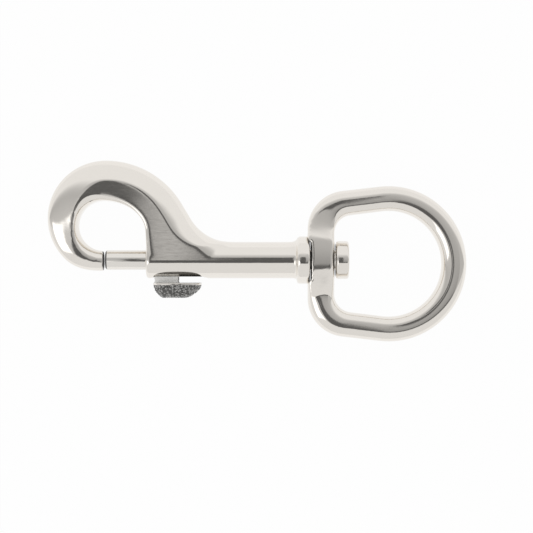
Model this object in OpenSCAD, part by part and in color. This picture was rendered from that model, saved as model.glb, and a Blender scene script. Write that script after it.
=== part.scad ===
// Swivel snap hook: a cast hook with a spring bolt in its barrel and an eye that turns on a headed pin.
// The swivel axis is the X axis, with the eye towards +X. The middle of the eye's round end is at X = 0.
// The hook's bow rises towards +Y, the thumb button lies towards -Y, and Z goes through the hook's flat side.

/* [Barrel] */
// Outside diameter of the barrel
barrel_d = 8.8; // [8.4:0.1:9.8]
// Length from the barrel's mouth to the back of its collar
barrel_l = 38.9; // [37:0.1:46]
// Rounding of the barrel's mouth
mouth_round = 0.6; // [0.2:0.1:1]
// Diameter of the collar
collar_d = 11.4; // [10.6:0.1:13]
// Length of the collar
collar_l = 3; // [2:0.1:4]
// Rounding of the collar's edges
collar_round = 0.6; // [0.2:0.1:0.9]
// Fillet between the barrel and its collar
collar_fillet = 0.5; // [0.2:0.1:0.9]

/* [Hook] */
// Gap from the hook's nose to the barrel's mouth
gate_l = 10.15; // [8:0.05:11]
// Inner radius of the bow
bow_r = 5.95; // [5.4:0.05:6.6]
// Height of the bow's centre above the swivel axis
bow_rise = 8.15; // [7.8:0.05:9]
// Outer radius of the bow
bow_out_r = 13.8; // [13:0.1:14.6]
// Width of the arm at the crown
crown_w = 9.7; // [8.8:0.1:10.6]
// Width of the arm at the back of the bow
back_w = 7.4; // [6.6:0.1:8.4]
// Width of the nose
nose_w = 4.8; // [4:0.1:5.6]
// Thickness of the nose
nose_t = 4.9; // [4:0.1:5.6]
// Thickness of the arm at the back of the bow
back_t = 6.6; // [5.6:0.1:7.6]
// Thickness of the arm at the crown
crown_t = 8.2; // [7:0.1:8.6]
// Thickness of the web where it runs into the barrel
web_t = 8.6; // [8:0.1:8.7]
// Height of the rounded shoulder inside the hook
shoulder_h = 7.6; // [6:0.1:9]
// Outer radius of the arm from the crown to the neck
shoulder_out_r = 21.1; // [19:0.1:23]
// Slope of the neck's flank
flank_deg = 59; // [54:1:63]
// Radius of the hollow where the neck runs into the barrel
neck_r = 11; // [9:0.1:13]

/* [Bolt] */
// Diameter of the bolt
bolt_d = 4.7; // [4:0.1:5.2]
// Length of the bolt without its spring spigot
bolt_l = 21.6; // [20:0.1:24]
// Radial clearance of the bolt in the barrel
bolt_clear = 0.08; // [0.03:0.01:0.1]
// Gap between the bolt's tip and the nose
nose_gap = 0.4; // [0.3:0.05:0.6]
// Chamfer at the bolt's tip
tip_chamfer = 0.4; // [0.2:0.1:1]
// How far the bolt draws back
travel = 9.4; // [8:0.1:9.6]
// Diameter of the spigot that centres the spring
spigot_d = 2.6; // [2:0.1:2.8]
// Length of the spigot
spigot_l = 2.5; // [1:0.1:4]

/* [Thumb button] */
// Length of the button's pad
pad_l = 11.6; // [10:0.1:13]
// Height of the pad
pad_h = 3.6; // [3:0.1:4.4]
// Width of the pad across the hook
pad_w = 8; // [6.6:0.1:9]
// Height of the pad's plain rim
pad_rim = 0.5; // [0.3:0.1:0.8]
// Gap between the barrel and the pad
pad_gap = 1.05; // [0.8:0.05:1.6]
// Length of the neck on the pad
neck_l = 5.9; // [5:0.1:7]
// Width of the neck across the hook
neck_w = 4.6; // [4:0.1:5.6]
// Radial clearance of the neck's saddle on the barrel
saddle_clear = 0.12; // [0.1:0.01:0.2]
// Diameter of the pin through the slot
pin_d = 2.8; // [2.2:0.1:3]
// Clearance of the pin in the slot, each side
pin_clear = 0.12; // [0.1:0.01:0.2]
// Free length in the slot in front of the pin
pin_free = 0.4; // [0.2:0.1:0.8]
// Distance from the barrel's mouth to the slot
slot_from_mouth = 1.45; // [1.2:0.05:2.5]
// How far the pin reaches past the bolt's axis
pin_past = 1; // [0:0.1:1.4]

/* [Return spring] */
// Thickness of the spring's wire
spring_wire = 0.5; // [0.4:0.05:0.6]
// Number of turns
spring_turns = 11; // [8:1:12]
// Clearance of the spring in the bore
spring_clear = 0.15; // [0.1:0.01:0.25]

/* [Swivel pin] */
// Diameter of the pin's head
head_d = 9.1; // [8:0.1:10]
// Length of the head
head_l = 3.1; // [2.4:0.1:4]
// Rounding of the head's edges
head_round = 0.6; // [0.2:0.1:1]
// Gap between the head and the eye
head_gap = 0.35; // [0.2:0.05:0.6]
// Radial clearance of the pin in the eye
swivel_clear = 0.08; // [0.03:0.01:0.1]
// How far the pin reaches into the barrel
plug_l = 8; // [6:0.1:9]

/* [Eye] */
// Inner radius of the eye's round end
eye_r = 12.6; // [12:0.1:14]
// Distance from the middle of the round end to the base's inner face
eye_reach = 13; // [12.4:0.1:14]
// Width of the eye's wire
wire_w = 6; // [5.4:0.1:6.8]
// Thickness of the eye's wire
wire_t = 5.8; // [5:0.1:6.6]
// Width of the base that carries the pin
base_w = 6.4; // [5.8:0.1:7.4]
// Thickness of the boss round the pin
boss_t = 8.8; // [8:0.1:10]
// Distance from the pin at which the boss has faded into the wire
boss_fade = 10; // [9:0.1:11]
// Inner corner radius of the base
corner_in_r = 4.4; // [4:0.1:5]
// Outer corner radius of the base
corner_out_r = 9.3; // [8.6:0.1:10]
// Half the straight length inside the base
straight_in = 7.2; // [6.6:0.1:7.6]
// Half the straight length outside the base
straight_out = 8.2; // [7.6:0.1:8.8]
// Offset of the eye's middle from the swivel axis
eye_drop = 0.9; // [0:0.1:1.5]
// Depth of the seat that takes the collar
seat_depth = 0.8; // [0.4:0.1:1.2]
// Clearance between the collar and its seat
seat_clear = 0.4; // [0.3:0.05:0.6]

/* [Hidden] */
$fn = 64;

NICKEL = [0.86, 0.85, 0.82];
STEEL = [0.78, 0.78, 0.77];
DARK_STEEL = [0.45, 0.45, 0.44];

cut = 1;
barrel_r = barrel_d / 2;
bore_r = bolt_d / 2 + bolt_clear;

seat_x = -eye_reach - base_w + seat_depth;
collar_x = seat_x - seat_clear;
mouth_x = collar_x - barrel_l;
nose_x = mouth_x - gate_l;
tip_x = nose_x + nose_gap;
bolt_end_x = tip_x + bolt_l;
plug_x = collar_x - plug_l;
// Play of the spring at each of its ends
spring_seat = 0.05;

slot_w = pin_d + 2 * pin_clear;
slot_l = slot_w + pin_free + travel + pin_clear;
slot_x = mouth_x + slot_from_mouth;
pin_x = slot_x + slot_w / 2 + pin_free;

crown_y = bow_rise + bow_r + crown_w;
out_cx = nose_x - bow_r - back_w + bow_out_r;
out_cy = crown_y - bow_out_r;
nose_low = bow_rise - bow_r - nose_w;
nose_trim = bow_out_r - (out_cy - nose_low);
// Angle round the bow from which the arm draws in to its nose
nose_turn = 225;

// The pad starts a little in front of the pin, and its neck a little behind the pad's front
pad_x = pin_x - pin_d / 2 - 0.35;
pad_top = -barrel_r - pad_gap;
neck_x = pad_x + 0.2;
// How much further back the neck's front is at the pad than at the barrel
neck_slant = 0.4;
// Shares of the pad's length and width by which it draws in towards its flat underside
pad_front_draw = 0.21;
pad_back_draw = 0.34;
pad_side_draw = 0.4;
// Squareness of the pad's plan, of its curve towards the underside, of the eye's wire and of its boss,
// where 2 is an ellipse
PAD_POWER = 2.6;
PAD_DRAW_POWER = 1.6;
WIRE_POWER = 2.5;
BOSS_POWER = 8;

// Stations along the bow, then those of the neck's four outer stretches and two inner ones
BOW_STEPS = 28;
OUTER_STEPS = [12, 4, 9, 3];
INNER_STEPS = [18, 10];
// Stations along the base, corner, side and round end of half the eye
EYE_STEPS = [7, 9, 5, 13];
// Points round each section of the arm, the eye and the pad, and rings down the pad
ARM_SIDES = 28;
EYE_SIDES = 24;
PAD_SIDES = 36;
PAD_STEPS = 8;
// Steps round one turn of the spring, and sides of its wire
COIL_STEPS = 14;
WIRE_SIDES = 6;

function lerp(a, b, t) = a + (b - a) * t;
function ramp(t) = let (c = min(max(t, 0), 1)) c * c * (3 - 2 * c);
function power(v, e) = sign(v) * pow(abs(v), e);

// Points of an arc or a line, with the last one left to the piece that follows
function arc_run(c, rx, ry, a0, a1, n) =
    [for (i = [0:n - 1]) let (a = lerp(a0, a1, i / n)) [c.x + rx * cos(a), c.y + ry * sin(a)]];
function line_run(p, q, n) = [for (i = [0:n - 1]) lerp(p, q, i / n)];

// A smooth curve through values given at 0, 1, 2 and so on
function through(v, t) =
    let (m = len(v) - 1, i = min(floor(t), m - 1), f = t - i)
    let (p0 = v[max(i - 1, 0)], p1 = v[i], p2 = v[i + 1], p3 = v[min(i + 2, m)])
    p1 + f * (p2 - p0) / 2 + f * f * (p0 - 2.5 * p1 + 2 * p2 - p3 / 2)
    + f * f * f * (1.5 * (p1 - p2) + (p3 - p0) / 2);

// One closed section between an inner and an outer point of the outline.
// half_t is its half thickness, and ridge is the share of the width at which it is thickest.
// For the inner and the outer side of the ridge, falls are the shares of thickness lost in a straight slope
// to the edge, and powers square the side off.
function section(inner, outer, half_t, ridge, falls, powers, sides) =
    [for (j = [0:sides - 1])
        let (a = 360 * j / sides, side = cos(a) < 0 ? 0 : 1, e = 2 / powers[side])
        let (u = power(cos(a), e), w = power(sin(a), e))
        let (m = lerp(inner, outer, ridge + (side == 0 ? ridge : 1 - ridge) * u))
        [m.x, m.y, half_t * w * (1 - falls[side] * abs(u))]];

function flat(rings) = [for (r = rings) for (p = r) p];

// Side faces between rings of points, and the two end caps of an open run
function side_faces(rings, sides, closed) =
    [for (i = [0:rings - (closed ? 1 : 2)]) for (j = [0:sides - 1])
        let (k = (j + 1) % sides, n = (i + 1) % rings)
        [i * sides + j, i * sides + k, n * sides + k, n * sides + j]];
function cap_faces(rings, sides) =
    [[for (j = [sides - 1:-1:0]) j], [for (j = [0:sides - 1]) (rings - 1) * sides + j]];

module sweep(rings, closed = false) {
    sides = len(rings[0]);
    count = len(rings);
    faces = concat(side_faces(count, sides, closed), closed ? [] : cap_faces(count, sides));
    polyhedron(points = flat(rings), faces = faces, convexity = 8);
}

// A disc along +X with rounded edges, its first face at x = 0
module round_disc(r, l, edge) {
    rotate([0, 90, 0]) rotate_extrude() {
        square([r - edge, l]);
        translate([0, edge]) square([r, l - 2 * edge]);
        translate([r - edge, edge]) circle(edge);
        translate([r - edge, l - edge]) circle(edge);
    }
}

module rod_x(x0, x1, r) {
    translate([x0, 0, 0]) rotate([0, 90, 0]) cylinder(h = x1 - x0, r = r);
}

// Outer outline of the bow at a given angle, drawn in to the nose near its end
function bow_outside(a) =
    let (f = ramp((a - nose_turn) / (270 - nose_turn)), r = bow_out_r - nose_trim * f)
    [lerp(out_cx, nose_x, f) + r * cos(a), out_cy + r * sin(a)];

// Neck: arc from the crown, straight flank, hollow, and a short run inside the barrel's top
arc_c = [out_cx, crown_y - shoulder_out_r];
flank_0 = arc_c + shoulder_out_r * [sin(flank_deg), cos(flank_deg)];
hollow_y = barrel_r + neck_r;
flank_l = (flank_0.y + neck_r * cos(flank_deg) - hollow_y) / sin(flank_deg);
flank_1 = flank_0 + flank_l * [cos(flank_deg), -sin(flank_deg)];
hollow_c = [flank_1.x + neck_r * sin(flank_deg), hollow_y];
run_out = 7;
sunk = 0.4;
neck_end = [hollow_c.x + run_out, -barrel_r / 8];
wall_top = [mouth_x, bow_rise + bow_r - shoulder_h];
wall_end = [mouth_x + sunk, -barrel_r / 8];

function hook_outside() = concat(
    [for (i = [0:BOW_STEPS - 1]) bow_outside(270 - 180 * i / BOW_STEPS)],
    arc_run(arc_c, shoulder_out_r, shoulder_out_r, 90, 90 - flank_deg, OUTER_STEPS[0]),
    line_run(flank_0, flank_1, OUTER_STEPS[1]),
    arc_run(hollow_c, neck_r, neck_r, 270 - flank_deg, 270, OUTER_STEPS[2]),
    line_run([hollow_c.x, barrel_r], neck_end, OUTER_STEPS[3]),
    [neck_end]);

function hook_inside() = concat(
    arc_run([nose_x, bow_rise], bow_r, bow_r, 270, 90, BOW_STEPS),
    arc_run([nose_x, wall_top.y], gate_l, shoulder_h, 90, 0, INNER_STEPS[0]),
    line_run(wall_top, wall_end, INNER_STEPS[1]),
    [wall_end]);

// Values at the nose, the back of the bow, the crown, the web and the end inside the barrel
arm_half_t = [nose_t / 2, back_t / 2, crown_t / 2, web_t / 2, barrel_r - sunk / 4];
arm_ridge = [0.5, 0.24, 0.49, 0.52, 0.6];
arm_falls = [[0, 0, 0.02, 0.07, 0.05], [0, 0.12, 0.33, 0.3, 0.1]];
arm_powers = [[2, 2, 6, 8, 8], [2, 5, 2.3, 2.3, 2]];

module hook_arm() {
    outside = hook_outside();
    inside = hook_inside();
    last = len(inside) - 1;
    rings = [for (i = [last:-1:0]) let (t = 4 * i / last)
        section(inside[i], outside[i], through(arm_half_t, t), through(arm_ridge, t),
            [for (v = arm_falls) through(v, t)], [for (v = arm_powers) through(v, t)], ARM_SIDES)];
    sweep(rings);
}

module barrel() {
    translate([mouth_x, 0, 0]) round_disc(barrel_r, barrel_l - collar_l / 2, mouth_round);
    translate([collar_x - collar_l, 0, 0]) round_disc(collar_d / 2, collar_l, collar_round);
    translate([collar_x - collar_l - collar_fillet, 0, 0]) rotate([0, 90, 0]) rotate_extrude()
        difference() {
            square([barrel_r + collar_fillet, collar_fillet + collar_round]);
            translate([barrel_r + collar_fillet, 0]) circle(collar_fillet);
            translate([barrel_r + collar_fillet, collar_fillet]) square(cut);
        }
}

// The slot through the barrel's underside, with round ends
module slot_cut() {
    rotate([90, 0, 0]) linear_extrude(barrel_r + cut) {
        translate([slot_x + slot_w / 2, 0]) circle(slot_w / 2);
        translate([slot_x + slot_w / 2, -slot_w / 2]) square([slot_l - slot_w, slot_w]);
        translate([slot_x + slot_l - slot_w / 2, 0]) circle(slot_w / 2);
    }
}

module hook_body() {
    color(NICKEL) difference() {
        union() {
            hook_arm();
            barrel();
        }
        rod_x(mouth_x - cut, collar_x + cut, bore_r);
        slot_cut();
    }
}

module bolt() {
    color(STEEL) difference() {
        union() {
            translate([tip_x, 0, 0]) rotate([0, 90, 0]) rotate_extrude() polygon([
                [0, 0], [bolt_d / 2 - tip_chamfer, 0], [bolt_d / 2, tip_chamfer],
                [bolt_d / 2, bolt_l], [0, bolt_l]]);
            rod_x(bolt_end_x - cut, bolt_end_x + spigot_l, spigot_d / 2);
        }
        translate([pin_x, pin_past, 0]) rotate([90, 0, 0]) cylinder(h = barrel_r + pin_past, r = pin_d / 2);
    }
}

// The pad's plan outline at one depth, drawn in at its front and back
function pad_ring(depth, front, back, half_w) =
    [for (j = [0:PAD_SIDES - 1])
        let (a = -360 * j / PAD_SIDES, e = 2 / PAD_POWER)
        let (x0 = pad_x + front, x1 = pad_x + pad_l - back)
        [(x0 + x1) / 2 + (x1 - x0) / 2 * power(cos(a), e), pad_top - depth, half_w * power(sin(a), e)]];

module pad() {
    hull_h = pad_h - pad_rim;
    rings = concat(
        [pad_ring(0, 0, 0, pad_w / 2)],
        [for (i = [0:PAD_STEPS]) let (a = 90 * i / PAD_STEPS, draw = 1 - power(cos(a), 2 / PAD_DRAW_POWER))
            pad_ring(pad_rim + hull_h * power(sin(a), 2 / PAD_DRAW_POWER), draw * pad_l * pad_front_draw,
                draw * pad_l * pad_back_draw, pad_w / 2 * (1 - pad_side_draw * draw))]);
    sweep(rings);
}

module thumb_button() {
    color(DARK_STEEL) difference() {
        union() {
            pad();
            translate([neck_x, 0, -neck_w / 2]) linear_extrude(neck_w) polygon([
                [neck_slant, pad_top - pad_rim / 2], [neck_l, pad_top - pad_rim / 2],
                [neck_l, -barrel_r / 2], [0, -barrel_r / 2]]);
        }
        rod_x(pad_x - cut, pad_x + pad_l + cut, barrel_r + saddle_clear);
    }
    color(DARK_STEEL) translate([pin_x, pin_past, 0]) rotate([90, 0, 0])
        cylinder(h = pin_past - pad_top + pad_rim, r = pin_d / 2);
}

// The spring pushes the bolt away from the swivel pin. Its end turns lie closed and the rest are open.
module return_spring() {
    wire_r = spring_wire / 2;
    mean_r = bore_r - spring_clear - wire_r;
    x0 = bolt_end_x + wire_r + spring_seat;
    x1 = plug_x - wire_r - spring_seat;
    closed_pitch = spring_wire * 1.1;
    open_pitch = (x1 - x0 - 2 * closed_pitch) / (spring_turns - 2);
    rings = [for (i = [0:spring_turns * COIL_STEPS])
        let (turn = i / COIL_STEPS, a = 360 * turn)
        let (closed = min(turn, 1) + max(turn - spring_turns + 1, 0), open = turn - closed)
        let (x = x0 + closed * closed_pitch + open * open_pitch)
        [for (j = [0:WIRE_SIDES - 1])
            let (b = 360 * j / WIRE_SIDES, r = mean_r + wire_r * cos(b))
            [x + wire_r * sin(b), r * cos(a), r * sin(a)]]];
    color(STEEL) sweep(rings);
}

module swivel_pin() {
    head_x = -eye_reach + head_gap;
    color(NICKEL) {
        rod_x(plug_x, head_x + head_round, bore_r);
        translate([head_x, 0, 0]) round_disc(head_d / 2, head_l, head_round);
    }
}

// The angle at which a corner arc and the eye's round end share a tangent
function tangent_deg(c, r, big_r) = atan2(c.y, c.x) - acos((big_r - r) / norm(c));

// Half of the eye's outline, from the middle of the base to the far end of the round
function eye_half(base_x, straight, corner_r, big_r) =
    let (c = [base_x + corner_r, straight], a = tangent_deg(c, corner_r, big_r))
    let (p = c + corner_r * [cos(a), sin(a)], q = big_r * [cos(a), sin(a)])
    concat(
        line_run([base_x, 0], [base_x, straight], EYE_STEPS[0]),
        arc_run(c, corner_r, corner_r, 180, a, EYE_STEPS[1]),
        line_run(p, q, EYE_STEPS[2]),
        arc_run([0, 0], big_r, big_r, a, 0, EYE_STEPS[3]));

function both_halves(half, end) = concat(
    half, [end], [for (i = [len(half) - 1:-1:1]) [half[i].x, -half[i].y]]);

module swivel_eye() {
    inside = both_halves(eye_half(-eye_reach, straight_in, corner_in_r, eye_r), [eye_r, 0]);
    outside = both_halves(
        eye_half(-eye_reach - base_w, straight_out, corner_out_r, eye_r + wire_w), [eye_r + wire_w, 0]);
    rings = [for (i = [0:len(inside) - 1])
        let (m = (inside[i] + outside[i]) / 2, at_boss = m.x < 0 ? 1 - ramp(abs(m.y) / boss_fade) : 0)
        let (half_t = lerp(wire_t, boss_t, at_boss) / 2, squareness = lerp(WIRE_POWER, BOSS_POWER, at_boss))
        section(inside[i], outside[i], half_t, 0.5, [0, 0], [squareness, squareness], EYE_SIDES)];
    color(NICKEL) difference() {
        translate([0, -eye_drop, 0]) sweep(rings, closed = true);
        rod_x(-eye_reach - base_w - cut, -eye_reach + cut, bore_r + swivel_clear);
        rod_x(-eye_reach - base_w - cut, seat_x, collar_d / 2 + seat_clear);
    }
}

hook_body();
bolt();
thumb_button();
return_spring();
swivel_eye();
swivel_pin();
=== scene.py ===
"""Swivel snap hook lying on a pale floor: smooth cast forms, plated finishes, studio light and camera."""
import math

import bmesh
import bpy
import numpy as np
from mathutils import Matrix, Vector, noise


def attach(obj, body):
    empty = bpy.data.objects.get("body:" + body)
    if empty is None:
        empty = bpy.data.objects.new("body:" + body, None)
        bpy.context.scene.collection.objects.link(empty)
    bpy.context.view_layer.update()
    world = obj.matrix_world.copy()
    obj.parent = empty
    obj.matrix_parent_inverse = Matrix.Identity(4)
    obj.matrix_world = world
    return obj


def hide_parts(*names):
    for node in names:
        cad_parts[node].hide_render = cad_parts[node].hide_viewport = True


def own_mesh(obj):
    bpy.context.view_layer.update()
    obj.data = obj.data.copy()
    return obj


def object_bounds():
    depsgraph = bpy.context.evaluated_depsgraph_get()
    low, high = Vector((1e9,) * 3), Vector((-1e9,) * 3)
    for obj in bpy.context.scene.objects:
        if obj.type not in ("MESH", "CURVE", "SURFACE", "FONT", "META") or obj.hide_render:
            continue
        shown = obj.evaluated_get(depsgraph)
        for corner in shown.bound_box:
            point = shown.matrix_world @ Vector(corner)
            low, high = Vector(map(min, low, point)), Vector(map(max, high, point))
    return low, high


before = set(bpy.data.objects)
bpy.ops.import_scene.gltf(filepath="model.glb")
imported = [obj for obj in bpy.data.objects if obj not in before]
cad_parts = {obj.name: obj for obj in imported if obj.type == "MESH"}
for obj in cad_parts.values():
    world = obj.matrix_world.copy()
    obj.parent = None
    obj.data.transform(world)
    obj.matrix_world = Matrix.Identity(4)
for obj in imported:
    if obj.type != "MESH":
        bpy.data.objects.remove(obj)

cad_low, cad_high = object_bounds()

# Forms are built in millimetres and brought to metres at the end
MM = 0.001

# Sizes in millimetres and degrees

# Barrel and collar
BARREL_R = 4.4
BARREL_L = 38.9
MOUTH_ROUND = 0.6
COLLAR_R = 5.7
COLLAR_L = 3.0
COLLAR_ROUND = 0.6
COLLAR_FILLET = 0.5
# How much nearer to the eye the polished collar stands than the bare CAD collar
COLLAR_NEARER = 0.15

# Hook
GATE_L = 10.15
BOW_R = 5.95
BOW_RISE = 8.15
BOW_OUT_R = 13.8
CROWN_W = 9.7
BACK_W = 7.4
NOSE_W = 4.8
NOSE_T = 4.9
LOW_BOW_T = 6.2
BACK_T = 7.5
HIGH_BOW_T = 8.4
CROWN_T = 8.6
WEB_T = 8.7
SHOULDER_H = 7.6
SHOULDER_OUT_R = 21.1
FLANK_DEG = 59
NECK_R = 11.0
NOSE_TURN = 225
RUN_OUT = 7.0
SUNK = 0.4

# Bolt and thumb button
BOLT_R = 2.35
BOLT_L = 21.6
BOLT_CLEAR = 0.08
NOSE_GAP = 0.4
TIP_CHAMFER = 0.4
TRAVEL = 9.4
SPIGOT_R = 1.3
SPIGOT_L = 2.5
PAD_L = 11.6
PAD_H = 3.6
PAD_W = 8.0
PAD_RIM = 0.5
PAD_GAP = 1.05
PAD_AHEAD = 0.35
NECK_INSET = 0.2
NECK_L = 5.9
NECK_W = 4.6
NECK_SLANT = 0.4
SADDLE_CLEAR = 0.12
PIN_R = 1.4
PIN_CLEAR = 0.12
PIN_FREE = 0.4
PIN_PAST = 1.0
SLOT_FROM_MOUTH = 1.45

# Return spring
SPRING_WIRE = 0.5
SPRING_TURNS = 11
SPRING_CLEAR = 0.15
SPRING_SEAT = 0.05
# Pitch of the closed end turns, as a share of the wire
CLOSED_PITCH = 1.1

# Swivel pin and eye
HEAD_R = 4.55
HEAD_L = 3.1
HEAD_ROUND = 0.6
HEAD_GAP = 0.35
SWIVEL_CLEAR = 0.08
PLUG_L = 8.0
EYE_R = 12.6
EYE_REACH = 13.0
WIRE_W = 6.0
WIRE_T = 5.8
BASE_W = 6.4
BOSS_T = 8.8
BOSS_FADE = 12.0
CORNER_IN_R = 4.4
CORNER_OUT_R = 9.3
STRAIGHT_IN = 7.2
STRAIGHT_OUT = 8.2
EYE_DROP = 0.9
SEAT_DEPTH = 0.8
SEAT_CLEAR = 0.4

# Places along the swivel axis
SEAT_X = -EYE_REACH - BASE_W + SEAT_DEPTH
COLLAR_X = SEAT_X - SEAT_CLEAR
MOUTH_X = COLLAR_X - BARREL_L
NOSE_X = MOUTH_X - GATE_L
TIP_X = NOSE_X + NOSE_GAP
BOLT_END_X = TIP_X + BOLT_L
PLUG_X = COLLAR_X - PLUG_L
BORE_R = BOLT_R + BOLT_CLEAR
SLOT_R = PIN_R + PIN_CLEAR
SLOT_X = MOUTH_X + SLOT_FROM_MOUTH
SLOT_L = 2 * SLOT_R + PIN_FREE + TRAVEL + PIN_CLEAR
PIN_X = SLOT_X + SLOT_R + PIN_FREE
PAD_X = PIN_X - PIN_R - PAD_AHEAD
PAD_TOP = -BARREL_R - PAD_GAP
ARM_END_Y = -BARREL_R / 8
# How far a cutting tool reaches past what it cuts
CUT = 1.0
# Directions of arcs
UP = 90
HOOKWARD = 180
DOWN = 270

# How finely the forms are drawn
FINER = 5
ARM_SIDES = 120
EYE_SIDES = 96
TURNED_SIDES = 144
ROUND_STEPS = 10
SLOT_ARC_POINTS = 25
HOLE_SIDES = 48
PIN_SIDES = 64
COIL_STEPS = 40
COIL_SIDES = 14
CAST_VOXEL = 0.21
BUTTON_VOXEL = 0.1
RELAX_STEP = 0.5
POLISH_ROUNDS = 8
BUTTON_ROUNDS = 4
BEVEL = 0.12
BEVEL_SEGMENTS = 3
BEVEL_DEG = 30


def lerp(a, b, t):
    return a + (b - a) * t


def ramp(t):
    """Smooth rise from 0 to 1 while t goes from 0 to 1."""
    c = np.clip(t, 0, 1)
    return c * c * (3 - 2 * c)


def power(v, e):
    """Power that keeps the sign."""
    return np.sign(v) * np.abs(v) ** e


def arc_run(centre, rx, ry, a0, a1, count):
    """Points of an arc, with the last one left to the piece that follows."""
    a = np.radians(a0 + (a1 - a0) * np.arange(count) / count)
    return np.stack([centre[0] + rx * np.cos(a), centre[1] + ry * np.sin(a)], 1)


def line_run(p, q, count):
    t = np.arange(count)[:, None] / count
    return lerp(np.array(p, float), np.array(q, float), t)


def through(values, t):
    """A smooth (Catmull-Rom) curve through values given at 0, 1, 2 and so on."""
    v = np.array(values, float)
    last = len(v) - 1
    i = np.minimum(np.floor(t).astype(int), last - 1)
    f = t - i
    p0, p1, p2, p3 = v[np.maximum(i - 1, 0)], v[i], v[i + 1], v[np.minimum(i + 2, last)]
    return (p1 + f * (p2 - p0) / 2 + f**2 * (p0 - 2.5 * p1 + 2 * p2 - p3 / 2)
            + f**3 * (1.5 * (p1 - p2) + (p3 - p0) / 2))


def sections(inner, outer, half_t, ridge, falls, powers, sides):
    """Closed sections between an inner and an outer outline, as an array of rings of points.

    ridge is the share of the width, from the inner edge, at which a section is thickest.
    falls and powers each hold an inner and an outer value: how much thickness is lost in a straight
    slope from the ridge to the edge, and how square that side is, where 2 is an ellipse."""
    a = np.linspace(0, 2 * math.pi, sides, endpoint=False)[None, :]
    inwards = np.cos(a) < 0
    squareness = np.where(inwards, powers[0][:, None], powers[1][:, None])
    fall = np.where(inwards, falls[0][:, None], falls[1][:, None])
    u, w = power(np.cos(a), 2 / squareness), power(np.sin(a), 2 / squareness)
    share = ridge[:, None] + np.where(inwards, ridge[:, None], 1 - ridge[:, None]) * u
    flat = inner[:, None, :] + (outer - inner)[:, None, :] * share[:, :, None]
    z = half_t[:, None] * w * (1 - fall * np.abs(u))
    return np.concatenate([flat, z[:, :, None]], 2)


def turned(profile, sides=TURNED_SIDES):
    """Rings of points round the swivel axis for a profile of places along it and radii."""
    a = np.linspace(0, 2 * math.pi, sides, endpoint=False)
    return np.array([[(x, r * math.cos(t), r * math.sin(t)) for t in a] for x, r in profile])


def rounded_disc(x0, x1, r, edge):
    """Profile of a disc whose two edges are rounded."""
    quarter = [math.pi / 2 * i / ROUND_STEPS for i in range(ROUND_STEPS + 1)]
    front = [(x0 + edge - edge * math.cos(t), r - edge + edge * math.sin(t)) for t in quarter]
    back = [(x1 - edge + edge * math.sin(t), r - edge + edge * math.cos(t)) for t in quarter]
    return front + back


def skinned(name, rings, closed=False):
    """A mesh object over rings of points, with flat ends unless the run is closed."""
    count, sides = rings.shape[:2]
    base = np.arange(count if closed else count - 1)[:, None] * sides
    after = (np.arange(1, count + (1 if closed else 0)) % count)[:, None] * sides
    j = np.arange(sides)[None, :]
    k = (j + 1) % sides
    quads = np.stack([base + j, base + k, after + k, after + j], 2).reshape(-1, 4).tolist()
    if not closed:
        quads += [list(range(sides)), list(range((count - 1) * sides, count * sides))]
    mesh = bpy.data.meshes.new(name)
    mesh.from_pydata(rings.reshape(-1, 3).tolist(), [], quads)
    work = bmesh.new()
    work.from_mesh(mesh)
    bmesh.ops.recalc_face_normals(work, faces=work.faces)
    work.to_mesh(mesh)
    work.free()
    made = bpy.data.objects.new(name, mesh)
    bpy.context.scene.collection.objects.link(made)
    return made


def baked(obj):
    """Puts the result of the object's modifiers into its mesh."""
    graph = bpy.context.evaluated_depsgraph_get()
    mesh = bpy.data.meshes.new_from_object(obj.evaluated_get(graph))
    obj.modifiers.clear()
    obj.data = mesh
    return obj


def combined(obj, others, operation):
    """Joins other solids to the object or cuts them from it."""
    for other in others:
        modifier = obj.modifiers.new(operation, "BOOLEAN")
        modifier.operation = operation
        modifier.solver = "MANIFOLD"
        modifier.object = other
    baked(obj)
    for other in others:
        bpy.data.objects.remove(other)
    return obj


def fused(obj, voxel):
    """Redraws the solid as one even skin of small faces."""
    modifier = obj.modifiers.new("fused", "REMESH")
    modifier.mode = "VOXEL"
    modifier.voxel_size = voxel
    return baked(obj)


def points_of(mesh):
    co = np.zeros(len(mesh.vertices) * 3)
    mesh.vertices.foreach_get("co", co)
    return co.reshape(-1, 3)


def relaxed(obj, rounds, weight=None):
    """Moves each point towards the middle of its neighbours, as polishing does."""
    mesh = obj.data
    co = points_of(mesh)
    edges = np.zeros(len(mesh.edges) * 2, int)
    mesh.edges.foreach_get("vertices", edges)
    a, b = edges.reshape(-1, 2).T
    count = len(co)
    degree = np.bincount(a, minlength=count) + np.bincount(b, minlength=count)
    share = RELAX_STEP * (np.ones(count) if weight is None else weight(co))
    for _ in range(rounds):
        for k in range(3):
            column = co[:, k].copy()
            total = np.bincount(a, column[b], count) + np.bincount(b, column[a], count)
            co[:, k] += share * (total / degree - column)
    mesh.vertices.foreach_set("co", co.ravel())
    mesh.update()
    return obj


def finished(obj, body, node, slot, *materials):
    """Brings a piece to metres, gives it its finish and lets it stand for its CAD node."""
    obj.data.transform(Matrix.Scale(MM, 4))
    obj.data.shade_smooth()
    obj.data.materials.clear()
    for material in materials:
        obj.data.materials.append(material)
    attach(obj, body)
    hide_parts(node)
    return obj


# Hook casting

CROWN_Y = BOW_RISE + BOW_R + CROWN_W
OUT_C = np.array([NOSE_X - BOW_R - BACK_W + BOW_OUT_R, CROWN_Y - BOW_OUT_R])
NOSE_LOW = BOW_RISE - BOW_R - NOSE_W
NOSE_TRIM = BOW_OUT_R - (OUT_C[1] - NOSE_LOW)
# Stretches of the arm, with as many stations outside as inside
BOW_STEPS = 28 * FINER
OUTER_STEPS = [12 * FINER, 4 * FINER, 9 * FINER, 3 * FINER]
INNER_STEPS = [18 * FINER, 10 * FINER]

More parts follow.
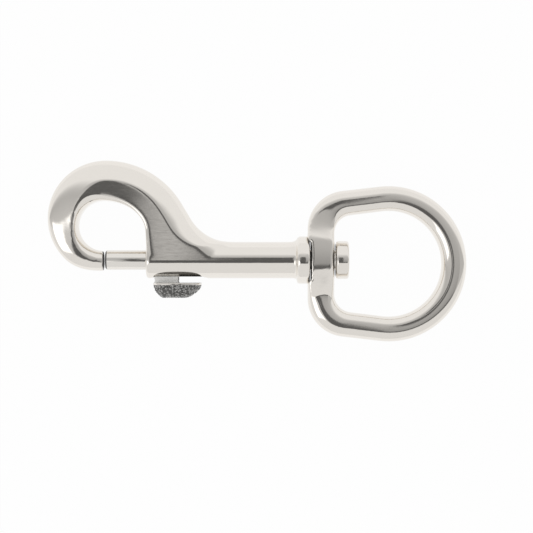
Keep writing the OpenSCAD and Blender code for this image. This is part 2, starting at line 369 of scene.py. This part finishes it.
# Values at the nose, the back of the bow, the crown, the web and the end inside the barrel.
# The half thickness has a value halfway between each two as well.
ARM_HALF_T = [t / 2 for t in (NOSE_T, LOW_BOW_T, BACK_T, HIGH_BOW_T, CROWN_T, WEB_T, WEB_T, WEB_T, WEB_T)]
ARM_RIDGE = [0.5, 0.18, 0.49, 0.52, 0.6]
ARM_OUTER_FALL = [0, 0.15, 0.33, 0.3, 0.1]
ARM_POWERS = [[2, 2, 7, 30, 30], [2, 4.4, 2.3, 2.3, 2]]


def bow_outside(count):
    """The bow's outer edge, which leaves its circle past NOSE_TURN to run out at the nose."""
    a = DOWN - (DOWN - UP) * np.arange(count) / count
    f = ramp((a - NOSE_TURN) / (DOWN - NOSE_TURN))
    r = BOW_OUT_R - NOSE_TRIM * f
    t = np.radians(a)
    return np.stack([lerp(OUT_C[0], NOSE_X, f) + r * np.cos(t), OUT_C[1] + r * np.sin(t)], 1)


def arm_outlines():
    """Inner and outer outline of the arm, from the nose round the bow and down the neck."""
    slope = math.radians(FLANK_DEG)
    across = np.array([math.cos(slope), -math.sin(slope)])
    outward = np.array([math.sin(slope), math.cos(slope)])
    arc_c = np.array([OUT_C[0], CROWN_Y - SHOULDER_OUT_R])
    flank_0 = arc_c + SHOULDER_OUT_R * outward
    hollow_y = BARREL_R + NECK_R
    flank_l = (flank_0[1] + NECK_R * outward[1] - hollow_y) / math.sin(slope)
    flank_1 = flank_0 + flank_l * across
    hollow_c = np.array([flank_1[0] + NECK_R * outward[0], hollow_y])
    neck_end = [hollow_c[0] + RUN_OUT, ARM_END_Y]
    outside = np.concatenate([
        bow_outside(BOW_STEPS),
        arc_run(arc_c, SHOULDER_OUT_R, SHOULDER_OUT_R, UP, UP - FLANK_DEG, OUTER_STEPS[0]),
        line_run(flank_0, flank_1, OUTER_STEPS[1]),
        arc_run(hollow_c, NECK_R, NECK_R, DOWN - FLANK_DEG, DOWN, OUTER_STEPS[2]),
        line_run([hollow_c[0], BARREL_R], neck_end, OUTER_STEPS[3]),
        [neck_end]])
    wall_top = [MOUTH_X, BOW_RISE + BOW_R - SHOULDER_H]
    wall_end = [MOUTH_X + SUNK, ARM_END_Y]
    inside = np.concatenate([
        arc_run([NOSE_X, BOW_RISE], BOW_R, BOW_R, DOWN, UP, BOW_STEPS),
        arc_run([NOSE_X, wall_top[1]], GATE_L, SHOULDER_H, UP, 0, INNER_STEPS[0]),
        line_run(wall_top, wall_end, INNER_STEPS[1]),
        [wall_end]])
    return inside, outside


def arm():
    inside, outside = arm_outlines()
    t = (len(ARM_RIDGE) - 1) * np.arange(len(inside)) / (len(inside) - 1)
    falls = [np.zeros(len(t)), through(ARM_OUTER_FALL, t)]
    powers = [through(values, t) for values in ARM_POWERS]
    half_t, ridge = through(ARM_HALF_T, 2 * t), through(ARM_RIDGE, t)
    rings = sections(inside, outside, half_t, ridge, falls, powers, ARM_SIDES)
    return skinned("arm", rings)


def barrel():
    """The turned barrel with its rounded mouth, and the collar at its other end."""
    quarter = [math.pi / 2 * i / ROUND_STEPS for i in range(ROUND_STEPS + 1)]
    front = rounded_disc(MOUTH_X, COLLAR_X, BARREL_R, MOUTH_ROUND)[:ROUND_STEPS + 1]
    collar_face = COLLAR_X - COLLAR_L
    fillet_c = (collar_face - COLLAR_FILLET, BARREL_R + COLLAR_FILLET)
    fillet = [(fillet_c[0] + COLLAR_FILLET * math.sin(t), fillet_c[1] - COLLAR_FILLET * math.cos(t))
              for t in quarter]
    collar = rounded_disc(collar_face, COLLAR_X + COLLAR_NEARER, COLLAR_R, COLLAR_ROUND)
    return skinned("barrel", turned(front + fillet + collar))


def rod(name, x0, x1, r):
    return skinned(name, turned([(x0, r), (x1, r)]))


def slot_tool():
    """The slot's stadium outline, carried down through the barrel's underside."""
    half = np.linspace(math.pi / 2, 3 * math.pi / 2, SLOT_ARC_POINTS)
    ends = [(SLOT_X + SLOT_R + SLOT_R * math.cos(t), SLOT_R * math.sin(t)) for t in half]
    far = SLOT_X + SLOT_L - SLOT_R
    ends += [(far - SLOT_R * math.cos(t), -SLOT_R * math.sin(t)) for t in half]
    levels = [0, -BARREL_R - CUT]
    return skinned("slot", np.array([[(x, y, z) for x, z in ends] for y in levels]))


# The seam between arm and barrel is relaxed within this reach of the barrel's skin. That fades in from
# SEAM_LOW_Y upwards, and out from SEAM_HIGH_Z on, before the web's flat face.
SEAM_REACH = 2.2
SEAM_LOW_Y = -0.5
SEAM_FADE = 1.5
SEAM_HIGH_Z = 3.0
SEAM_HIGH_FADE = 0.8
SEAM_ROUNDS = 60


def seam_weight(co):
    """1 where the arm runs into the barrel, fading to 0 away from that seam."""
    r = np.hypot(co[:, 1], co[:, 2])
    near = 1 - ramp(np.abs(r - BARREL_R) / SEAM_REACH)
    above = ramp((co[:, 1] - SEAM_LOW_Y) / SEAM_FADE)
    behind_mouth = ramp((co[:, 0] - MOUTH_X - MOUTH_ROUND) / SEAM_FADE)
    below_web = 1 - ramp((np.abs(co[:, 2]) - SEAM_HIGH_Z) / SEAM_HIGH_FADE)
    return near * above * behind_mouth * below_web


# Painted shade on faces that meet in a gap: depth of the shaded skin, how squarely they face it, and the
# finish they get
SHADE_SKIN = 0.4
FACING = 0.5
SHADE_FINISH = 1


def painted_shade_on(obj, places):
    """Paints shade, as the second finish, on the faces turned along X at each place on the axis, within a
    radius.
    """
    for face in obj.data.polygons:
        c = face.center / MM
        for x, radius in places:
            within = abs(c.x - x) < SHADE_SKIN and math.hypot(c.y, c.z) < radius
            if within and abs(face.normal.x) > FACING:
                face.material_index = SHADE_FINISH
    return obj


def hook_casting(material, dim_tone_and_shade):
    piece = combined(arm(), [barrel()], "UNION")
    bore = rod("bore", MOUTH_X - CUT, COLLAR_X + CUT, BORE_R)
    piece = combined(piece, [bore, slot_tool()], "DIFFERENCE")
    piece.name = "hook_casting"
    fused(piece, CAST_VOXEL)
    relaxed(piece, SEAM_ROUNDS, seam_weight)
    relaxed(piece, POLISH_ROUNDS)
    finished(piece, "hook", "hook_body", "plated_casting", material, dim_tone_and_shade)
    # Painted shade on the nose's end face and the collar's back face, where they meet gaps
    painted_shade_on(piece, [(NOSE_X, NOSE_W), (COLLAR_X + COLLAR_NEARER, COLLAR_R - COLLAR_ROUND / 2)])
    # Painted shade on the slot's walls inside the barrel
    for face in piece.data.polygons:
        c = face.center / MM
        along_slot = c.y < -BORE_R and SLOT_X < c.x < SLOT_X + SLOT_L
        if along_slot and math.hypot(c.y, c.z) < BARREL_R - CAST_VOXEL:
            face.material_index = SHADE_FINISH
    return piece


# Swivel eye

EYE_STEPS = [7 * FINER, 9 * FINER, 5 * FINER, 13 * FINER]
WIRE_POWER = 2.5
WIRE_RIDGE = 0.5
BOSS_POWER = 8
# The boss's top is a slow arc that ends in a crease, past which the base slopes down to the wire
BOSS_MIDDLE = 1.5
BOSS_TOP = 3.7
BOSS_CROWN_R = 24.0
BOSS_SLOPES = (0.33, 0.19)
BOSS_EASE = 0.022
# The boss is thickest near its hook side and falls a little towards the eye's opening
BOSS_RIDGE = 0.85
BOSS_FALL = 0.06


def eye_half(base_x, straight, corner_r, big_r):
    """Half of the eye's outline, from the middle of the base to the far end of the round."""
    c = np.array([base_x + corner_r, straight])
    a = math.atan2(c[1], c[0]) - math.acos((big_r - corner_r) / math.hypot(*c))
    outward = np.array([math.cos(a), math.sin(a)])
    p, q = c + corner_r * outward, big_r * outward
    degrees = math.degrees(a)
    return np.concatenate([
        line_run([base_x, 0], [base_x, straight], EYE_STEPS[0]),
        arc_run(c, corner_r, corner_r, HOOKWARD, degrees, EYE_STEPS[1]),
        line_run(p, q, EYE_STEPS[2]),
        arc_run([0, 0], big_r, big_r, degrees, 0, EYE_STEPS[3])])


def both_halves(half, end):
    return np.concatenate([half, [end], half[:0:-1] * [1, -1]])


def eye_ring(material, dim_tone_and_shade):
    inside = both_halves(eye_half(-EYE_REACH, STRAIGHT_IN, CORNER_IN_R, EYE_R), [EYE_R, 0])
    outside = both_halves(eye_half(-EYE_REACH - BASE_W, STRAIGHT_OUT, CORNER_OUT_R, EYE_R + WIRE_W),
                          [EYE_R + WIRE_W, 0])
    middle = (inside + outside) / 2
    along = middle[:, 1] - EYE_DROP - BOSS_MIDDLE
    away = np.abs(along)
    past = np.maximum(away - BOSS_TOP, 0)
    crowned = BOSS_T / 2 - np.minimum(away, BOSS_TOP)**2 / (2 * BOSS_CROWN_R)
    above = BOSS_SLOPES[0] * past - BOSS_EASE * np.minimum(past, BOSS_SLOPES[0] / BOSS_EASE / 2)**2
    sloped = crowned - np.where(along > 0, above, BOSS_SLOPES[1] * past)
    half_t = np.where(middle[:, 0] < 0, np.maximum(sloped, WIRE_T / 2), WIRE_T / 2)
    at_boss = np.where(middle[:, 0] < 0, 1 - ramp((away - BOSS_TOP) / (BOSS_FADE - BOSS_TOP)), 0)
    squareness = lerp(WIRE_POWER, BOSS_POWER, at_boss)
    ridge = lerp(WIRE_RIDGE, BOSS_RIDGE, at_boss)
    falls = [BOSS_FALL * at_boss, np.zeros(len(middle))]
    rings = sections(inside, outside, half_t, ridge, falls, [squareness, squareness], EYE_SIDES)
    piece = skinned("eye_ring", rings - [0, EYE_DROP, 0], closed=True)
    back = -EYE_REACH - BASE_W - CUT
    hole = rod("hole", back, -EYE_REACH + CUT, BORE_R + SWIVEL_CLEAR)
    seat = rod("seat", back, SEAT_X, COLLAR_R + SEAT_CLEAR)
    combined(piece, [hole, seat], "DIFFERENCE")
    fused(piece, CAST_VOXEL)
    relaxed(piece, POLISH_ROUNDS)
    finished(piece, "eye", "swivel_eye", "plated_eye", material, dim_tone_and_shade)
    # Painted shade on the seat's face in the gap by the collar
    return painted_shade_on(piece, [(SEAT_X, COLLAR_R + SEAT_CLEAR)])


# Bolt, swivel pin and spring

def cross_rod(name, low_y, sides):
    """A rod across the bolt, where the button's pin goes."""
    a = np.linspace(0, 2 * math.pi, sides, endpoint=False)
    return skinned(name, np.array([
        [(PIN_X + PIN_R * math.cos(t), y, PIN_R * math.sin(t)) for t in a] for y in (PIN_PAST, low_y)]))


def bevelled(obj):
    """Breaks the sharp edges of a turned piece."""
    modifier = obj.modifiers.new("bevelled", "BEVEL")
    modifier.width = BEVEL
    modifier.segments = BEVEL_SEGMENTS
    modifier.limit_method = "ANGLE"
    modifier.angle_limit = math.radians(BEVEL_DEG)
    return baked(obj)


def sliding_bolt(material, dim_tone_and_shade):
    chamfer = [(TIP_X, BOLT_R - TIP_CHAMFER), (TIP_X + TIP_CHAMFER, BOLT_R)]
    step = [(BOLT_END_X, BOLT_R), (BOLT_END_X, SPIGOT_R), (BOLT_END_X + SPIGOT_L, SPIGOT_R)]
    piece = skinned("sliding_bolt", turned(chamfer + step))
    combined(piece, [cross_rod("cross_hole", -BARREL_R, HOLE_SIDES)], "DIFFERENCE")
    bevelled(piece)
    finished(piece, "sliding_bolt", "bolt", "polished_steel", material, dim_tone_and_shade)
    # Painted shade on the bolt's tip face in the gap by the nose
    return painted_shade_on(piece, [(TIP_X, BOLT_R)])


def headed_pin(material, dim_tone_and_shade):
    head_x = -EYE_REACH + HEAD_GAP
    head = rounded_disc(head_x, head_x + HEAD_L, HEAD_R, HEAD_ROUND)
    piece = skinned("headed_pin", turned([(PLUG_X, BORE_R), (head_x, BORE_R)] + head))
    bevelled(piece)
    finished(piece, "hook", "swivel_pin", "plated_pin", material, dim_tone_and_shade)
    # Painted shade on the head's face in the gap by the eye
    return painted_shade_on(piece, [(head_x, HEAD_R - HEAD_ROUND)])


def coil_spring(material):
    wire_r = SPRING_WIRE / 2
    mean_r = BORE_R - SPRING_CLEAR - wire_r
    x0 = BOLT_END_X + wire_r + SPRING_SEAT
    x1 = PLUG_X - wire_r - SPRING_SEAT
    closed_pitch = SPRING_WIRE * CLOSED_PITCH
    open_pitch = (x1 - x0 - 2 * closed_pitch) / (SPRING_TURNS - 2)
    turn = np.arange(SPRING_TURNS * COIL_STEPS + 1) / COIL_STEPS
    shut = np.minimum(turn, 1) + np.maximum(turn - SPRING_TURNS + 1, 0)
    x = x0 + shut * closed_pitch + (turn - shut) * open_pitch
    a = (2 * math.pi * turn)[:, None]
    b = np.linspace(0, 2 * math.pi, COIL_SIDES, endpoint=False)[None, :]
    r = mean_r + wire_r * np.cos(b)
    rings = np.stack([x[:, None] + wire_r * np.sin(b), r * np.cos(a), r * np.sin(a)], 2)
    piece = finished(skinned("coil_spring", rings), "hook", "return_spring", "spring_steel", material)
    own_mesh(piece)
    return piece


# Thumb button

PAD_POWER = 2.6
PAD_FRONT_DRAW = 0.21
PAD_BACK_DRAW = 0.34
PAD_DRAW_POWER = 1.6
PAD_SIDE_DRAW = 0.4
PAD_SIDES = 160
PAD_STEPS = 24
PEBBLE_PITCH = 0.62
PEBBLE_DEPTH = 0.2
# The pebbles fade in below the rim. A dome ends at this distance from its middle, as a share of the pitch.
PEBBLE_FADE = 0.25
PEBBLE_EDGE = 0.55
# How squarely a face of the pad's top looks up to get painted shade, and the finishes by number
TOP_FACING = 0.8
PEBBLED, POLISHED, SATIN, SHADED_TOP = range(4)


def pad_ring(depth, front, back, half_w):
    """The pad's outline at a depth, drawn in at its front and back."""
    a = np.linspace(0, 2 * math.pi, PAD_SIDES, endpoint=False)
    x0, x1 = PAD_X + front, PAD_X + PAD_L - back
    x = (x0 + x1) / 2 + (x1 - x0) / 2 * power(np.cos(a), 2 / PAD_POWER)
    z = half_w * power(np.sin(a), 2 / PAD_POWER)
    return np.stack([x, np.full_like(x, PAD_TOP - depth), z], 1)


def pad():
    """The domed pad, with a straight rim at its top."""
    rings = [pad_ring(0, 0, 0, PAD_W / 2)]
    for i in range(PAD_STEPS + 1):
        a = math.pi / 2 * i / PAD_STEPS
        draw = 1 - abs(math.cos(a)) ** (2 / PAD_DRAW_POWER)
        depth = PAD_RIM + (PAD_H - PAD_RIM) * math.sin(a) ** (2 / PAD_DRAW_POWER)
        rings.append(pad_ring(depth, draw * PAD_L * PAD_FRONT_DRAW,
                              draw * PAD_L * PAD_BACK_DRAW, PAD_W / 2 * (1 - PAD_SIDE_DRAW * draw)))
    return skinned("thumb_pad", np.array(rings))


def neck():
    """The saddle neck between the pad and the barrel."""
    x0 = PAD_X + NECK_INSET
    low = PAD_TOP - PAD_RIM / 2
    high = -BARREL_R / 2
    outline = [(x0 + NECK_SLANT, low), (x0 + NECK_L, low), (x0 + NECK_L, high), (x0, high)]
    return skinned("neck", np.array([[(x, y, z) for x, y in outline] for z in (-NECK_W / 2, NECK_W / 2)]))


def pebbled(obj):
    """Presses a pattern of small domes into the pad below its rim."""
    mesh = obj.data
    co = points_of(mesh)
    normals = np.zeros(len(mesh.vertices) * 3)
    mesh.vertices.foreach_get("normal", normals)
    normals = normals.reshape(-1, 3)
    below = ramp((PAD_TOP - PAD_RIM - co[:, 1]) / PEBBLE_FADE)
    nearest = np.array([noise.voronoi(Vector(p / PEBBLE_PITCH))[0][0] if f > 0 else 0
                        for p, f in zip(co, below)])
    co -= normals * (PEBBLE_DEPTH * below * np.clip(nearest / PEBBLE_EDGE, 0, 1) ** 2)[:, None]
    mesh.vertices.foreach_set("co", co.ravel())
    mesh.update()
    return obj


def thumb_piece(pebble, polished, satin, dim_tone_and_shade):
    saddle = rod("saddle", PAD_X - CUT, PAD_X + PAD_L + CUT, BARREL_R + SADDLE_CLEAR)
    piece = combined(neck(), [saddle], "DIFFERENCE")
    piece = combined(piece, [pad(), cross_rod("cross_pin", PAD_TOP - PAD_RIM, PIN_SIDES)], "UNION")
    piece.name = "thumb_piece"
    fused(piece, BUTTON_VOXEL)
    relaxed(piece, BUTTON_ROUNDS)
    pebbled(piece)
    finished(piece, "sliding_bolt", "thumb_button", "pebbled_steel", pebble, polished, satin, dim_tone_and_shade)
    for face in piece.data.polygons:
        y = face.center.y / MM
        # Painted shade on the pad's top, which looks up at the barrel's underside
        on_top = abs(y - PAD_TOP) < SHADE_SKIN and face.normal.y > TOP_FACING
        by_height = PEBBLED if y < PAD_TOP - PAD_RIM else POLISHED if y < PAD_TOP else SATIN
        face.material_index = SHADED_TOP if on_top else by_height
    return piece


# Finishes

def node_of(tree, kind, **settings):
    """A new node, with its properties and inputs set by name."""
    made = tree.nodes.new(kind)
    for name, value in settings.items():
        if hasattr(made, name):
            setattr(made, name, value)
        else:
            made.inputs[name.replace("_", " ")].default_value = value
    return made


def feed(tree, socket, value):
    """Sets a socket to a number, or links an output to it."""
    if isinstance(value, (int, float)):
        socket.default_value = value
    else:
        tree.links.new(value, socket)


def math_of(tree, operation, first, second):
    made = node_of(tree, "ShaderNodeMath", operation=operation)
    feed(tree, made.inputs[0], first)
    feed(tree, made.inputs[1], second)
    return made.outputs[0]


def mapped(tree, value, start, end, low, high, interpolation="SMOOTHSTEP"):
    """The value taken from the range start to end into the range low to high."""
    made = node_of(tree, "ShaderNodeMapRange", interpolation_type=interpolation,
                   From_Min=start, From_Max=end, To_Min=low, To_Max=high)
    tree.links.new(value, made.inputs["Value"])
    return made.outputs["Result"]


# Sockets of a colour mix node
MIX_SHARE, MIX_FIRST, MIX_SECOND, MIX_COLOUR = 0, 6, 7, 2
# Painted shade in the pebbled pad's grooves: a dome darkens over this stretch of the distance from its
# middle, in cells
GROOVE = (0.25, 0.75)
PIT_SCALE = 1900
GROOVE_SHADE_COLOUR = (0.11, 0.109, 0.105)
# Stretch of the grain's noise over which the gloss changes
GRAIN_SPREAD = (0.3, 0.7)


def metal(name, bright, dim_tone_and_shade, rough, grain, bump, metallic=1.0):
    """A metal whose colour and gloss drift slowly, with fine polishing lines along X.

    grain is how often the lines change along each axis."""
    material = bpy.data.materials.new(name)
    material.use_nodes = True
    tree = material.node_tree
    shader = tree.nodes["Principled BSDF"]
    shader.inputs["Metallic"].default_value = metallic
    place = node_of(tree, "ShaderNodeTexCoord")
    drift = node_of(tree, "ShaderNodeTexNoise", Scale=140.0, Detail=5.0, Roughness=0.6)
    tree.links.new(place.outputs["Object"], drift.inputs["Vector"])
    tint = node_of(tree, "ShaderNodeMix", data_type="RGBA")
    tint.inputs[MIX_FIRST].default_value = (*dim_tone_and_shade, 1)
    tint.inputs[MIX_SECOND].default_value = (*bright, 1)
    tree.links.new(drift.outputs["Fac"], tint.inputs[MIX_SHARE])
    tree.links.new(tint.outputs[MIX_COLOUR], shader.inputs["Base Color"])
    stretch = node_of(tree, "ShaderNodeMapping", Scale=grain)
    tree.links.new(place.outputs["Object"], stretch.inputs["Vector"])
    lines = node_of(tree, "ShaderNodeTexNoise", Scale=1.0, Detail=4.0, Roughness=0.7)
    tree.links.new(stretch.outputs["Vector"], lines.inputs["Vector"])
    gloss = mapped(tree, lines.outputs["Fac"], *GRAIN_SPREAD, *rough, "LINEAR")
    tree.links.new(gloss, shader.inputs["Roughness"])
    relief = node_of(tree, "ShaderNodeBump", Strength=bump, Distance=0.0001)
    tree.links.new(lines.outputs["Fac"], relief.inputs["Height"])
    tree.links.new(relief.outputs["Normal"], shader.inputs["Normal"])
    return material


def pitted_and_shaded(material):
    """Paints shade into the grooves between the domes of a pebbled surface and raises the domes."""
    tree = material.node_tree
    shader = tree.nodes["Principled BSDF"]
    place = node_of(tree, "ShaderNodeTexCoord")
    cells = node_of(tree, "ShaderNodeTexVoronoi", feature="F1", Scale=PIT_SCALE)
    tree.links.new(place.outputs["Object"], cells.inputs["Vector"])
    groove = mapped(tree, cells.outputs["Distance"], *GROOVE, 0.0, 1.0)
    # Painted shade: the grooves are mixed towards a dark colour
    tint = node_of(tree, "ShaderNodeMix", data_type="RGBA")
    tree.links.new(groove, tint.inputs[MIX_SHARE])
    tree.links.new(shader.inputs["Base Color"].links[0].from_socket, tint.inputs[MIX_FIRST])
    tint.inputs[MIX_SECOND].default_value = (*GROOVE_SHADE_COLOUR, 1)
    tree.links.new(tint.outputs[MIX_COLOUR], shader.inputs["Base Color"])
    relief = node_of(tree, "ShaderNodeBump", Strength=0.9, Distance=0.0002, invert=True)
    tree.links.new(groove, relief.inputs["Height"])
    tree.links.new(shader.inputs["Normal"].links[0].from_socket, relief.inputs["Normal"])
    tree.links.new(relief.outputs["Normal"], shader.inputs["Normal"])
    return material


nickel = metal("nickel_plate", bright=(0.855, 0.818, 0.767), dim_tone_and_shade=(0.824, 0.788, 0.737),
               rough=(0.05, 0.1), grain=(500, 4000, 4000), bump=0.02)
bolt_plate = metal("bolt_plate", bright=(0.84, 0.81, 0.765), dim_tone_and_shade=(0.80, 0.77, 0.725),
                   rough=(0.07, 0.13), grain=(300, 6000, 6000), bump=0.04)
pebble_plate = pitted_and_shaded(metal("pebble_plate", bright=(0.52, 0.515, 0.50), dim_tone_and_shade=(0.34, 0.335, 0.325),
                            rough=(0.25, 0.36), grain=(3000, 3000, 3000), bump=0.15))
satin_plate = metal("satin_plate", bright=(0.90, 0.89, 0.86), dim_tone_and_shade=(0.80, 0.79, 0.76),
                    rough=(0.5, 0.7), grain=(2500, 2500, 2500), bump=0.3, metallic=0.1)
# Dark finish that paints shade on faces in gaps, on the slot's walls and on the pad's top
painted_shade_steel = metal("painted_shade_steel", bright=(0.30, 0.295, 0.285), dim_tone_and_shade=(0.20, 0.197, 0.19),
                   rough=(0.4, 0.55), grain=(900, 900, 900), bump=0.1)
wire_steel = metal("wire_steel", bright=(0.62, 0.62, 0.62), dim_tone_and_shade=(0.52, 0.52, 0.52),
                   rough=(0.2, 0.3), grain=(6000, 1000, 1000), bump=0.05)

hook_casting(nickel, painted_shade_steel)
eye_ring(nickel, painted_shade_steel)
headed_pin(nickel, painted_shade_steel)
sliding_bolt(bolt_plate, painted_shade_steel)
thumb_piece(pebble_plate, nickel, satin_plate, painted_shade_steel)
coil_spring(wire_steel)


# Floor and studio

FLOOR_HALF = 3.0
FLOOR_DROP = 0.00002
FLOOR_COLOUR = (0.9, 0.9, 0.9, 1)
FLOOR_ROUGH = 0.9
# Share of plain white in the floor as it is seen, where the rest shows the shadow
FLOOR_WHITE = 0.97


def pale_floor():
    """A white floor that keeps the object's soft shadow."""
    mesh = bpy.data.meshes.new("floor")
    h, z = FLOOR_HALF, cad_low.z - FLOOR_DROP
    mesh.from_pydata([(-h, -h, z), (h, -h, z), (h, h, z), (-h, h, z)], [], [(0, 1, 2, 3)])
    floor = bpy.data.objects.new("floor", mesh)
    bpy.context.scene.collection.objects.link(floor)
    material = bpy.data.materials.new("floor_white")
    material.use_nodes = True
    tree = material.node_tree
    diffuse = tree.nodes["Principled BSDF"]
    diffuse.inputs["Base Color"].default_value = FLOOR_COLOUR
    diffuse.inputs["Roughness"].default_value = FLOOR_ROUGH
    diffuse.inputs["Specular IOR Level"].default_value = 0.0
    white = node_of(tree, "ShaderNodeEmission", Strength=1.0)
    mix = node_of(tree, "ShaderNodeMixShader")
    tree.links.new(math_of(tree, "MULTIPLY", seen_directly(tree), FLOOR_WHITE), mix.inputs[0])
    tree.links.new(diffuse.outputs[0], mix.inputs[1])
    tree.links.new(white.outputs[0], mix.inputs[2])
    tree.links.new(mix.outputs[0], tree.nodes["Material Output"].inputs["Surface"])
    mesh.materials.append(material)


def seen_directly(tree):
    """1 for camera, glossy and transmission rays."""
    path = node_of(tree, "ShaderNodeLightPath")
    seen = math_of(tree, "MAXIMUM", path.outputs["Is Camera Ray"], path.outputs["Is Glossy Ray"])
    return math_of(tree, "MAXIMUM", seen, path.outputs["Is Transmission Ray"])


# Brightness overhead: two pale panels leave a grey slot along X, with dark patches in it. A place
# overhead is given by its slopes from the vertical, X over Z and Y over Z.
PANEL = 0.92
PANEL_LOW = 0.83
PANEL_EDGE = 0.54
PANEL_FULL_Y = 0.75
SLOT_Y = (-0.33, 0.26)
SLOT_X_END = (0.6, 0.8)
SLOT_GREY = (0.33, 0.52)
# The slot is paler on the hook's side of this stretch
SLOT_PALE_X = (-0.05, -0.03)
SLOT_PALE = (0.68, 0.52)
# A darker stretch along the slot's lower edge, which fades out towards the hook
LINE_W = 0.07
LINE_SHADE = 0.35
LINE_X = (-0.2, -0.13)
# Dark of the camera, of a second patch over the hook's crown, and of a low one between the two
DARK = 0.11
CAMERA_X = (-0.04, 0.055)
CROWN_DARK_X = (-0.165, -0.075)
LOW_DARK_X = (-0.1, -0.02)
LOW_DARK_Y = (-0.06, -0.02)
# A bright soft box lies where a times the X slope plus b times the Y slope is over c, for each (a, b, c)
SOFTBOX_EDGES = ((0, -1, 0.085), (-0.635, 1, -0.165), (-1, -0.61, 0.43), (1, 0, -1.3))
SOFTBOX_LEVEL = 1.5
# Half widths of soft and sharp edges, and the least height that a slope is taken from
SOFT = 0.02
SHARP = 0.008
LEAST_Z = 0.01


def studio():
    """White surroundings under two pale panels with a grey slot between them."""
    world = bpy.data.worlds.new("studio")
    bpy.context.scene.world = world
    world.use_nodes = True
    tree = world.node_tree
    background = tree.nodes["Background"]
    background.inputs["Color"].default_value = (1, 1, 1, 1)
    place = node_of(tree, "ShaderNodeTexCoord")
    split = node_of(tree, "ShaderNodeSeparateXYZ")
    tree.links.new(place.outputs["Generated"], split.inputs[0])

    def math_node(operation, first, second):
        return math_of(tree, operation, first, second)

    def step(value, start, end, low=0.0, high=1.0):
        return mapped(tree, value, start, end, low, high)

    def blended(share, first, second):
        made = node_of(tree, "ShaderNodeMix", data_type="FLOAT")
        for socket, value in zip((made.inputs[0], made.inputs[2], made.inputs[3]), (share, first, second)):
            feed(tree, socket, value)
        return made.outputs[0]

    def between(value, ends, soft=SOFT):
        start, end = ends
        return math_node("MULTIPLY", step(value, start - soft, start + soft),
                         step(value, end - soft, end + soft, 1.0, 0.0))

    up = math_node("MAXIMUM", split.outputs["Z"], LEAST_Z)
    slope_x = math_node("DIVIDE", split.outputs["X"], up)
    slope_y = math_node("DIVIDE", split.outputs["Y"], up)
    low_y, high_y = SLOT_Y
    above = step(slope_y, high_y, PANEL_FULL_Y, PANEL_EDGE, PANEL)
    below = step(slope_y, low_y - SOFT, low_y + SOFT, PANEL_LOW, PANEL_EDGE)
    panels = math_node("MAXIMUM", above, below)
    inside = math_node("MULTIPLY", between(slope_y, SLOT_Y), step(slope_x, *SLOT_X_END, 1.0, 0.0))
    grey = blended(step(slope_x, *SLOT_PALE_X), step(slope_y, *SLOT_Y, *SLOT_PALE),
                   step(slope_y, *SLOT_Y, *SLOT_GREY))
    line = step(slope_y, low_y + LINE_W, low_y + 2 * LINE_W, LINE_SHADE, 1.0)
    grey = math_node("MULTIPLY", grey, blended(step(slope_x, *LINE_X), 1.0, line))
    dark = math_node("MAXIMUM", between(slope_x, CAMERA_X, SHARP), between(slope_x, CROWN_DARK_X, SHARP))
    low_dark = math_node("MULTIPLY", between(slope_x, LOW_DARK_X), step(slope_y, *LOW_DARK_Y, 1.0, 0.0))
    slot = blended(math_node("MAXIMUM", dark, low_dark), grey, DARK)
    level = blended(inside, panels, slot)
    box = 1.0
    for a, b, c in SOFTBOX_EDGES:
        reach = math_node("ADD", math_node("MULTIPLY", slope_x, a), math_node("MULTIPLY", slope_y, b))
        box = math_node("MULTIPLY", step(reach, c - SOFT, c + SOFT), box)
    level = blended(box, level, SOFTBOX_LEVEL)
    path = node_of(tree, "ShaderNodeLightPath")
    seen = blended(path.outputs["Is Camera Ray"], level, 1.0)
    tree.links.new(seen, background.inputs["Strength"])


# Width of the view at the object, and where its middle lies
VIEW_W = 0.1275
VIEW_X = -0.02919
VIEW_Y = -0.001555
CAMERA_Z = 0.4
SENSOR_W = 36
CLIP = (0.01, 20)


def camera():
    data = bpy.data.cameras.new("camera")
    data.sensor_width = SENSOR_W
    data.lens = SENSOR_W * CAMERA_Z / VIEW_W
    data.clip_start, data.clip_end = CLIP
    made = bpy.data.objects.new("camera", data)
    made.location = (VIEW_X, VIEW_Y, CAMERA_Z)
    bpy.context.scene.collection.objects.link(made)
    bpy.context.scene.camera = made


pale_floor()
studio()
camera()
bpy.context.scene.view_settings.view_transform = "Standard"
